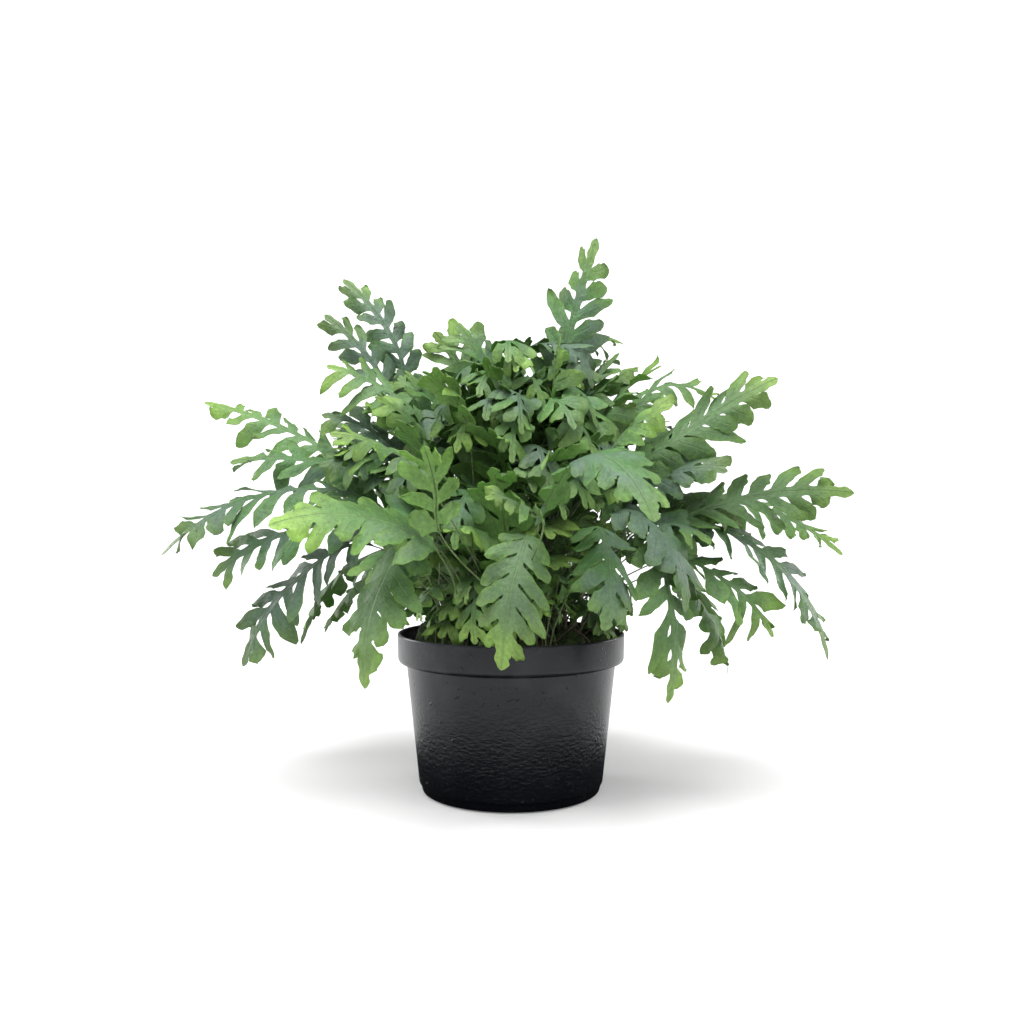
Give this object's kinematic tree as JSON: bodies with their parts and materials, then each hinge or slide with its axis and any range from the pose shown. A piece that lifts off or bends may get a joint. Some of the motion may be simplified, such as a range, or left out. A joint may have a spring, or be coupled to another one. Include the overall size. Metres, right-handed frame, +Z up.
{
  "type": "potted fern",
  "caption": "Potted blue star fern: arching lobed fronds on wiry stalks rising from a creeping rhizome in a round black nursery pot.",
  "frame": {"origin": "centre of the pot's foot, on the surface it stands on", "axes": "+Z up along the pot's axis; -Y towards the front of the plant, as pictured; +X to its right"},
  "size_m": [0.5608, 0.4255, 0.4658],
  "materials": {
    "pot_black": "black moulded plastic, satin, finely grained",
    "soil_brown": "damp crumbly potting soil, matt",
    "rhizome_brown": "brown and scaly, matt",
    "frond_blue": "blue-green leaf with a waxy bloom",
    "frond_green": "mid green leaf, satin",
    "frond_young": "young yellow-green leaf, satin"
  },
  "bodies": {
    "root": {"pot": "pot_black", "soil": "soil_brown", "rhizome": "rhizome_brown", "frond_01": "frond_blue", "frond_02": "frond_young", "frond_03": "frond_blue", "frond_04": "frond_blue", "frond_05": "frond_green", "frond_06": "frond_young", "frond_07": "frond_young", "frond_08": "frond_green", "frond_09": "frond_young", "frond_10": "frond_green", "frond_11": "frond_green", "frond_12": "frond_green", "frond_13": "frond_blue", "frond_14": "frond_green", "frond_15": "frond_green", "frond_16": "frond_blue", "frond_17": "frond_blue", "frond_18": "frond_green", "frond_19": "frond_blue", "frond_20": "frond_green", "frond_21": "frond_blue", "frond_22": "frond_blue", "frond_23": "frond_blue", "frond_24": "frond_blue", "frond_25": "frond_green", "frond_26": "frond_young", "frond_27": "frond_green", "frond_28": "frond_young", "frond_29": "frond_young", "frond_30": "frond_blue", "frond_31": "frond_green", "frond_32": "frond_green", "frond_33": "frond_green", "frond_34": "frond_green", "frond_35": "frond_blue", "frond_36": "frond_blue", "frond_37": "frond_young", "frond_38": "frond_blue", "frond_39": "frond_blue", "frond_40": "frond_blue", "frond_41": "frond_blue", "frond_42": "frond_green", "frond_43": "frond_blue", "frond_44": "frond_green", "frond_45": "frond_green", "frond_46": "frond_young", "frond_47": "frond_blue", "frond_48": "frond_blue", "frond_49": "frond_blue", "frond_50": "frond_blue", "frond_51": "frond_green", "frond_52": "frond_blue", "frond_53": "frond_blue", "frond_54": "frond_young", "frond_55": "frond_young", "frond_56": "frond_green", "frond_57": "frond_green"}
  },
  "joints": []
}
